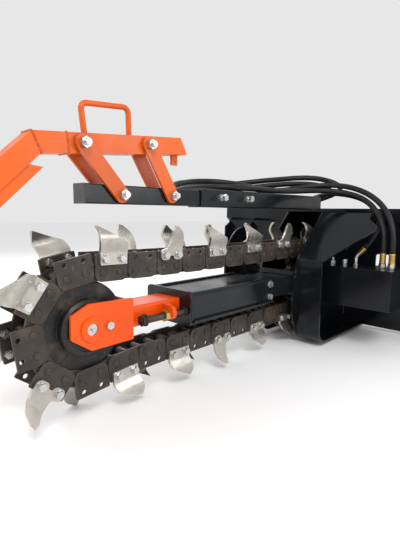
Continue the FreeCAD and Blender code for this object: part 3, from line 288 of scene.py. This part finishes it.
def plated(name, base, roughness=(0.20, 0.36)):
    """Zinc plating: faint spangle, dulled, with patches of dirt."""
    m = Nodes(name)
    shade = m.ramp(m.cells(180), (0.0, tuple(c * 0.78 for c in base)), (0.8, base))
    dirt = m.ramp(m.noise(48, 6.0, 0.7), (0.50, 0.0), (0.75, 0.5))
    shade = m.mix(dirt, shade, tuple(c * 0.32 for c in base))
    m.put(Base_Color=shade, Roughness=m.ramp(m.noise(60, 4.0), (0.3, roughness[0]), (0.7, roughness[1])))
    m.put(Metallic=0.9)
    m.bump(m.noise(210, 3.0), 0.12, 0.3 * MM, soft_edge=0.5 * MM)
    return m.material


def hose_rubber(name):
    """Synthetic rubber cover with the print of its cloth wrap, dusty in patches."""
    m = Nodes(name)
    shade = m.ramp(m.noise(14, 5.0), (0.30, (0.0035, 0.0035, 0.004)), (0.72, (0.009, 0.009, 0.010)))
    dust = m.ramp(m.noise(90, 5.0, 0.65), (0.56, 0.0), (0.76, 0.35))
    shade = m.mix(dust, shade, (0.030, 0.028, 0.025))
    weave = m.add("ShaderNodeTexWave", bands_direction="DIAGONAL")
    weave.inputs["Scale"].default_value = 190
    weave.inputs["Distortion"].default_value = 1.5
    m.join(m.place, weave.inputs["Vector"])
    m.put(Specular_IOR_Level=0.3)
    m.put(Base_Color=shade, Roughness=m.ramp(m.noise(22, 4.0), (0.3, 0.36), (0.7, 0.58)))
    m.bump(m.maths("ADD", m.maths("MULTIPLY", weave.outputs["Fac"], 0.5), m.noise(300, 3.0)), 0.28, 0.4 * MM)
    return m.material


def moulded_plastic(name, base):
    m = Nodes(name)
    shade = m.ramp(m.noise(30, 4.0), (0.3, tuple(c * 0.8 for c in base)), (0.7, tuple(c * 1.2 for c in base)))
    m.put(Base_Color=shade, Roughness=m.ramp(m.noise(80, 4.0), (0.3, 0.42), (0.7, 0.60)))
    m.bump(m.noise(500, 2.0), 0.20, 0.25 * MM, soft_edge=0.8 * MM)
    return m.material


def weld_metal(name, base):
    """A painted weld: its colour over a lumpy bead."""
    m = Nodes(name)
    shade = m.ramp(m.noise(120, 5.0, 0.7), (0.35, tuple(c * 0.42 for c in base)), (0.62, base))
    m.put(Base_Color=shade, Roughness=m.ramp(m.noise(60, 3.0), (0.3, 0.28), (0.7, 0.55)))
    m.bump(m.noise(320, 4.0, 0.7), 0.5, 0.6 * MM)
    return m.material


MATERIALS = {}


def material(name):
    return MATERIALS[name]


def paint(obj, name):
    obj.data.materials.clear()
    obj.data.materials.append(material(name))


class TRENCHER_OT_finishes(bpy.types.Operator):
    """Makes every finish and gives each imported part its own"""

    bl_idname = "trencher.finishes"
    bl_label = "Finishes"

    def execute(self, context):
        look = finishes()
        black, orange, dull = tuple(look.black), tuple(look.orange), tuple(look.dull_orange)
        steel = (0.34, 0.33, 0.31)
        wear = look.wear
        MATERIALS.update(
            frame_black=gloss_enamel("frame_black", black, steel, wear, (0.10, 0.26), 0.03),
            boom_black=gloss_enamel(
                "boom_black", tuple(c * 1.25 for c in black), steel, min(wear * 1.6, 1), (0.12, 0.30), 0.06
            ),
            fork_orange=gloss_enamel("fork_orange", orange, (0.52, 0.20, 0.09), wear * 0.5, (0.22, 0.40), 0.03),
            link_orange=gloss_enamel(
                "link_orange", tuple(c * 0.94 for c in dull), (0.45, 0.22, 0.12), wear * 0.5, (0.26, 0.44), 0.04
            ),
            arm_orange=gloss_enamel("arm_orange", dull, (0.40, 0.20, 0.12), wear * 0.8, (0.26, 0.46), 0.05),
            chain_steel=oiled_chain_steel("chain_steel", tuple(look.chain)),
            tooth_steel=bare_steel("tooth_steel", tuple(look.tooth)),
            machined_steel=bare_steel("machined_steel", (0.40, 0.39, 0.37), (0.18, 0.34), (0.16, 0.13, 0.10)),
            zinc=plated("zinc", tuple(look.zinc)),
            gold_zinc=plated("gold_zinc", tuple(look.gold)),
            hose_rubber=hose_rubber("hose_rubber"),
            cap_grey=moulded_plastic("cap_grey", (0.035, 0.035, 0.032)),
            roller_black=oiled_chain_steel("roller_black", (0.012, 0.012, 0.012)),
            weld_black=weld_metal("weld_black", (0.012, 0.013, 0.015)),
            weld_orange=weld_metal("weld_orange", (0.62, 0.10, 0.014)),
        )
        of_slot = {"bare_steel": "machined_steel", "motor_black": "frame_black"}
        slot_of = {s["node"]: s["material_slot"] for s in frame["record"]["subparts"]}
        boom_parts = ("boom", "boom_collar", "boom_wear_strips", "boom_tongue", "crumber_sleeve", "crumber_tube")
        for node, obj in NODES.items():
            name = "boom_black" if node in boom_parts else of_slot.get(slot_of[node], slot_of[node])
            paint(obj, "chain_steel" if node == "chain_rollers" else name)
        return {"FINISHED"}


# ------------------------------------------------------------------ mesh helpers
def finish_piece(name, bm, finish, body, smooth=30.0, bevel=0.0, merge=True):
    """Turns a bmesh into a piece that rides on a body."""
    if merge:
        bmesh.ops.remove_doubles(bm, verts=bm.verts, dist=1e-6)
        bmesh.ops.recalc_face_normals(bm, faces=bm.faces)
    mesh = bpy.data.meshes.new(name)
    bm.to_mesh(mesh)
    bm.free()
    obj = bpy.data.objects.new(name, mesh)
    bpy.context.scene.collection.objects.link(obj)
    mesh.materials.append(material(finish))
    for face in mesh.polygons:
        face.use_smooth = True
    mesh.set_sharp_from_angle(angle=math.radians(smooth))
    if bevel:
        edge = obj.modifiers.new("edges", "BEVEL")
        edge.width = bevel
        edge.segments = 2
        edge.limit_method = "ANGLE"
    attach(obj, body)
    return obj


# ------------------------------------------------------------------ hoses
PRESSURE_ROUTE = (
    (-0.2893, -0.356, 0.372), (-0.289, -0.356, 0.43), (-0.27, -0.333, 0.495), (-0.249, -0.294, 0.5502),
    (-0.242, -0.236, 0.5902), (-0.252, -0.168, 0.6104), (-0.284, -0.105, 0.6175), (-0.336, -0.057, 0.6169),
    (-0.401, -0.028, 0.6118), (-0.471, -0.016, 0.6096), (-0.542, -0.014, 0.6089), (-0.614, -0.013, 0.609),
    (-0.685, -0.022, 0.609), (-0.755, -0.024, 0.609), (-0.818, 0.005, 0.6089), (-0.858, 0.061, 0.6075),
    (-0.872, 0.13, 0.6057), (-0.858, 0.2, 0.6045), (-0.818, 0.258, 0.6038), (-0.755, 0.29, 0.6038),
    (-0.684, 0.287, 0.6056), (-0.619, 0.259, 0.6093), (-0.564, 0.213, 0.6154), (-0.514, 0.163, 0.6231),
    (-0.466, 0.111, 0.6319), (-0.41, 0.066, 0.6407), (-0.354, 0.024, 0.6467), (-0.297, -0.02, 0.6482),
    (-0.238, -0.054, 0.6421), (-0.178, -0.062, 0.6326), (-0.124, -0.044, 0.6212), (-0.082, -0.003, 0.6086),
    (-0.06, 0.057, 0.5898), (-0.059, 0.125, 0.5693), (-0.059, 0.17, 0.5693),
)
RETURN_ROUTE = (
    (-0.2893, -0.39, 0.372), (-0.289, -0.39, 0.432), (-0.275, -0.371, 0.5002), (-0.254, -0.33, 0.5559),
    (-0.242, -0.273, 0.5992), (-0.242, -0.207, 0.6279), (-0.258, -0.138, 0.6409), (-0.291, -0.074, 0.6401),
    (-0.342, -0.023, 0.6305), (-0.406, 0.006, 0.6188), (-0.478, 0.013, 0.6117), (-0.551, 0.015, 0.6086),
    (-0.623, 0.012, 0.611), (-0.695, 0.003, 0.6176), (-0.765, 0.014, 0.6238), (-0.821, 0.059, 0.6297),
    (-0.849, 0.125, 0.6309), (-0.848, 0.197, 0.6289), (-0.819, 0.263, 0.628), (-0.763, 0.308, 0.6276),
    (-0.692, 0.319, 0.6287), (-0.623, 0.3, 0.6316), (-0.564, 0.259, 0.6369), (-0.512, 0.209, 0.6442),
    (-0.463, 0.156, 0.6528), (-0.409, 0.109, 0.662), (-0.35, 0.066, 0.669), (-0.306, 0.01, 0.6751),
    (-0.26, -0.046, 0.6733), (-0.202, -0.086, 0.6608), (-0.136, -0.095, 0.6441), (-0.075, -0.069, 0.6276),
    (-0.034, -0.014, 0.6096), (-0.02, 0.054, 0.59), (-0.02, 0.124, 0.5693), (-0.02, 0.17, 0.5693),
)
DRAIN_ROUTE = (
    (-0.2798, -0.2806, 0.3866), (-0.2747, -0.3017, 0.4128), (-0.261, -0.32, 0.4583), (-0.243, -0.315, 0.5052),
    (-0.226, -0.288, 0.545), (-0.217, -0.246, 0.573), (-0.205, -0.2, 0.5902), (-0.193, -0.151, 0.6003),
    (-0.181, -0.101, 0.6061), (-0.168, -0.052, 0.609), (-0.149, -0.005, 0.6048), (-0.13, 0.041, 0.595),
    (-0.11, 0.087, 0.5804), (-0.098, 0.134, 0.5653), (-0.098, 0.17, 0.5653),
)


def hose_curve(name, route, diameter):
    data = bpy.data.curves.new(name, "CURVE")
    data.dimensions = "3D"
    data.bevel_depth = diameter / 2
    data.bevel_resolution = 6
    data.resolution_u = 12
    data.use_fill_caps = True
    spline = data.splines.new("NURBS")
    spline.points.add(len(route) - 1)
    for point, place in zip(spline.points, route):
        point.co = (*place, 1)
    spline.order_u = 3
    spline.use_endpoint_u = True
    obj = bpy.data.objects.new(name, data)
    bpy.context.scene.collection.objects.link(obj)
    data.materials.append(material("hose_rubber"))
    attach(obj, "head_frame")
    return obj


class TRENCHER_OT_hoses(bpy.types.Operator):
    """Lays the pressure, return and drain hoses over the sleeve to the coupler rack"""

    bl_idname = "trencher.hoses"
    bl_label = "Hoses"

    def execute(self, context):
        look = sizes()
        runs = (
            ("pressure_hose", PRESSURE_ROUTE, look.hose_diameter, 2.315),
            ("return_hose", RETURN_ROUTE, look.hose_diameter, 2.458),
            ("drain_hose", DRAIN_ROUTE, look.drain_diameter, 0.679),
        )
        for node, route, diameter, run in runs:
            curve = hose_curve(node + "_line", route, diameter)
            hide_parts(node)
        return {"FINISHED"}


# ------------------------------------------------------------------ turned parts
def turned(bm, foot, along, outline, sides=32):
    """Spins an outline of (radius, distance) about a line through foot."""
    along = Vector(along).normalized()
    across = along.orthogonal().normalized()
    foot = Vector(foot)
    spots = [bm.verts.new(foot + across * radius + along * reach) for radius, reach in outline]
    edges = [bm.edges.new(pair) for pair in zip(spots, spots[1:])]
    bmesh.ops.spin(bm, geom=spots + edges, cent=foot, axis=along, angle=math.tau, steps=sides, use_merge=True)


def crimped(run, radius):
    """Outline of a swaged ferrule: a plain collar, five rolled grooves and a turned-in lip."""
    outline = [(0, 0), (radius * 0.98, 0), (radius, 0.001), (radius, run * 0.16)]
    for k in range(5):
        start = run * (0.20 + 0.145 * k)
        outline += [(radius, start), (radius * 0.9, start + run * 0.018), (radius * 0.9, start + run * 0.07)]
        outline += [(radius, start + run * 0.088)]
    return outline + [(radius, run * 0.97), (radius * 0.94, run), (0, run)]


FERRULE_FOOT = 0.3305
DRAIN_NUT = (-0.28432, -0.262, 0.3635)


class TRENCHER_OT_ferrules(bpy.types.Operator):
    """Rolls grooves into the ferrules at the motor's ports"""

    bl_idname = "trencher.ferrules"
    bl_label = "Hose ferrules"

    def execute(self, context):
        bm = bmesh.new()
        foot_z = FERRULE_FOOT
        for route, radius in ((PRESSURE_ROUTE, 0.0125), (RETURN_ROUTE, 0.0125)):
            x, y, z = route[0]
            turned(bm, (x, y, foot_z), (0, 0, 1), crimped(z - foot_z, radius))
        end, start = Vector(DRAIN_ROUTE[0]), Vector(DRAIN_NUT)
        turned(bm, start, end - start, crimped((end - start).length, 0.009))
        piece = finish_piece("crimped_ferrules", bm, "gold_zinc", "head_frame", smooth=40)
        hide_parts("hose_ferrules")
        return {"FINISHED"}


# ------------------------------------------------------------------ welds
def bead(bm, line, size, chance):
    """Lays a rippled bead of weld metal along a line of points."""
    for start, end in zip(line, line[1:]):
        start, end = Vector(start), Vector(end)
        run = (end - start).length
        count = max(3, int(run / (size * 1.3)))
        outline = [(0, 0)]
        for k in range(count):
            wide, reach = size * chance.uniform(0.80, 1.12), run * k / count
            step = run / count
            outline += [(wide * 0.74, reach + step * 0.03), (wide, reach + step * 0.4)]
            outline.append((wide * 0.9, reach + step * 0.85))
        outline.append((0, run))
        turned(bm, start, end - start, outline, sides=8)


def ring(centre, along, half_a, side, half_b):
    centre, along, side = Vector(centre), Vector(along), Vector(side)
    corners = [(1, 1), (1, -1), (-1, -1), (-1, 1), (1, 1)]
    return [centre + along * half_a * a + side * half_b * b for a, b in corners]


ARM_KNEE = (-1.5, 0, 0.67365)
ARM_LINE = (0.9956, 0, 0.0936)
KNEE_MITRE = (0.4115, 0, -0.9114)


class TRENCHER_OT_welds(bpy.types.Operator):
    """Lays the weld beads on the head, the boom and the crumber arm"""

    bl_idname = "trencher.welds"
    bl_label = "Weld beads"

    def execute(self, context):
        size = sizes().weld_size
        chance = random.Random(11)
        black = bmesh.new()
        plate_x = low("mounting_plate").x
        side = high("side_plates").y
        for y in (-side, side):
            bead(black, [(plate_x, y, 0.036), (plate_x, y, 0.245)], size, chance)
            bead(black, [(plate_x, y, 0.345), (plate_x, y, 0.470)], size, chance)
        sleeve_low, sleeve_high = low("crumber_sleeve"), high("crumber_sleeve")
        deck_low = low("deck_plate")
        for y in (sleeve_low.y, sleeve_high.y):
            seam = [(deck_low.x + 0.01, y, sleeve_low.z), (sleeve_high.x - 0.02, y, sleeve_low.z)]
            bead(black, seam, size * 0.8, chance)
        box_low, box_high = low("motor_box"), high("motor_box")
        middle_x, middle_z = (box_low.x + box_high.x) / 2, (box_low.z + box_high.z) / 2
        half_x, half_z = (box_high.x - box_low.x) / 2, (box_high.z - box_low.z) / 2
        bead(black, ring((middle_x, -side, middle_z), (1, 0, 0), half_x, (0, 0, 1), half_z), size, chance)
        boom_low, boom_high = low("boom"), high("boom")
        collar = high("boom_collar")
        for y in (-collar.y, collar.y):
            seam = [(collar.x, y, boom_low.z + 0.01), (collar.x, y, boom_high.z - 0.01)]
            bead(black, seam, size * 0.8, chance)
        finish_piece("frame_welds", black, "weld_black", "head_frame", merge=False, smooth=60)

        orange = bmesh.new()
        knee, arm = Vector(ARM_KNEE), Vector(ARM_LINE)
        bead(orange, ring(knee, KNEE_MITRE, 0.0252, (0, 1, 0), 0.0248), size * 0.8, chance)
        seam = knee + arm * 0.0753
        bead(orange, ring(seam, (-arm.z, 0, arm.x), 0.0238, (0, 1, 0), 0.0248), size * 0.75, chance)
        finish_piece("arm_welds", orange, "weld_orange", "arm", merge=False, smooth=60)
        return {"FINISHED"}


# ------------------------------------------------------------------ stage
class TRENCHER_OT_stage(bpy.types.Operator):
    """Sets the floor, the soft studio lights and the camera"""

    bl_idname = "trencher.stage"
    bl_label = "Stage"

    def execute(self, context):
        scene = context.scene
        scene.view_settings.view_transform = "Standard"
        bm = bmesh.new()
        bmesh.ops.create_grid(bm, x_segments=1, y_segments=1, size=14)
        mesh = bpy.data.meshes.new("floor")
        bm.to_mesh(mesh)
        bm.free()
        floor = bpy.data.objects.new("floor", mesh)
        floor.location.z = CAD_BOX[0][2] - 0.0005
        scene.collection.objects.link(floor)
        ground = bpy.data.materials.new("pale_floor")
        ground.use_nodes = True
        shader = ground.node_tree.nodes["Principled BSDF"]
        shader.inputs["Base Color"].default_value = (0.93, 0.93, 0.93, 1)
        shader.inputs["Roughness"].default_value = 0.75
        mesh.materials.append(ground)

        world = bpy.data.worlds.new("studio")
        scene.world = world
        world.use_nodes = True
        backdrop = world.node_tree.nodes["Background"]
        backdrop.inputs["Color"].default_value = (1.0, 1.0, 1.0, 1)
        backdrop.inputs["Strength"].default_value = 0.80

        centre = Vector((-0.8, 0, 0.35))
        for name, place, size, power in (
            ("key", (-2.6, -2.6, 3.2), 1.4, 95),
            ("fill", (-3.2, 1.8, 1.6), 2.0, 22),
            ("back", (0.4, 2.8, 2.4), 2.0, 34),
            ("side", (0.6, -2.9, 1.2), 1.2, 16),
        ):
            data = bpy.data.lights.new(name, "AREA")
            data.energy = power
            data.size = size
            lamp = bpy.data.objects.new(name, data)
            lamp.location = place
            lamp.rotation_euler = (centre - Vector(place)).to_track_quat("-Z", "Y").to_euler()
            scene.collection.objects.link(lamp)

        data = bpy.data.cameras.new("camera")
        data.lens = 27.57
        data.sensor_width = 36.0
        camera = bpy.data.objects.new("camera", data)
        yaw, pitch, roll = (math.radians(a) for a in (46.655, -7.766, 0.714))
        right = Vector((math.cos(yaw), -math.sin(yaw), 0))
        ahead = Vector((math.sin(yaw) * math.cos(pitch), math.cos(yaw) * math.cos(pitch), math.sin(pitch)))
        up = right.cross(ahead)
        across = math.cos(roll) * right + math.sin(roll) * up
        upright = -math.sin(roll) * right + math.cos(roll) * up
        turn = Matrix((across, upright, -ahead)).transposed()
        camera.matrix_world = Matrix.Translation((-1.9238, -0.9226, 0.5268)) @ turn.to_4x4()
        scene.collection.objects.link(camera)
        scene.camera = camera
        return {"FINISHED"}


class TRENCHER_PT_panel(bpy.types.Panel):
    """Lists the steps that build the trencher"""

    bl_idname = "TRENCHER_PT_panel"
    bl_label = "Trencher"
    bl_space_type = "VIEW_3D"
    bl_region_type = "UI"
    bl_category = "Trencher"

    def draw(self, context):
        for group in (context.scene.trencher_sizes, context.scene.trencher_finishes):
            for name in group.__annotations__:
                self.layout.prop(group, name)
        for step in STEPS:
            self.layout.operator(step.bl_idname)


STEPS = (
    TRENCHER_OT_finishes,
    TRENCHER_OT_stage,
    TRENCHER_OT_hoses,
    TRENCHER_OT_ferrules,
    TRENCHER_OT_welds,
)
CLASSES = (TrencherFinishes, TrencherSizes) + STEPS + (TRENCHER_PT_panel,)


def register():
    for each in CLASSES:
        bpy.utils.register_class(each)
    bpy.types.Scene.trencher_finishes = bpy.props.PointerProperty(type=TrencherFinishes)
    bpy.types.Scene.trencher_sizes = bpy.props.PointerProperty(type=TrencherSizes)


def unregister():
    del bpy.types.Scene.trencher_sizes
    del bpy.types.Scene.trencher_finishes
    for each in reversed(CLASSES):
        bpy.utils.unregister_class(each)


def main():
    register()
    bpy.ops.trencher.finishes()
    bpy.ops.trencher.stage()
    bpy.ops.trencher.hoses()
    bpy.ops.trencher.ferrules()
    bpy.ops.trencher.welds()


if __name__ == "__main__":
    main()
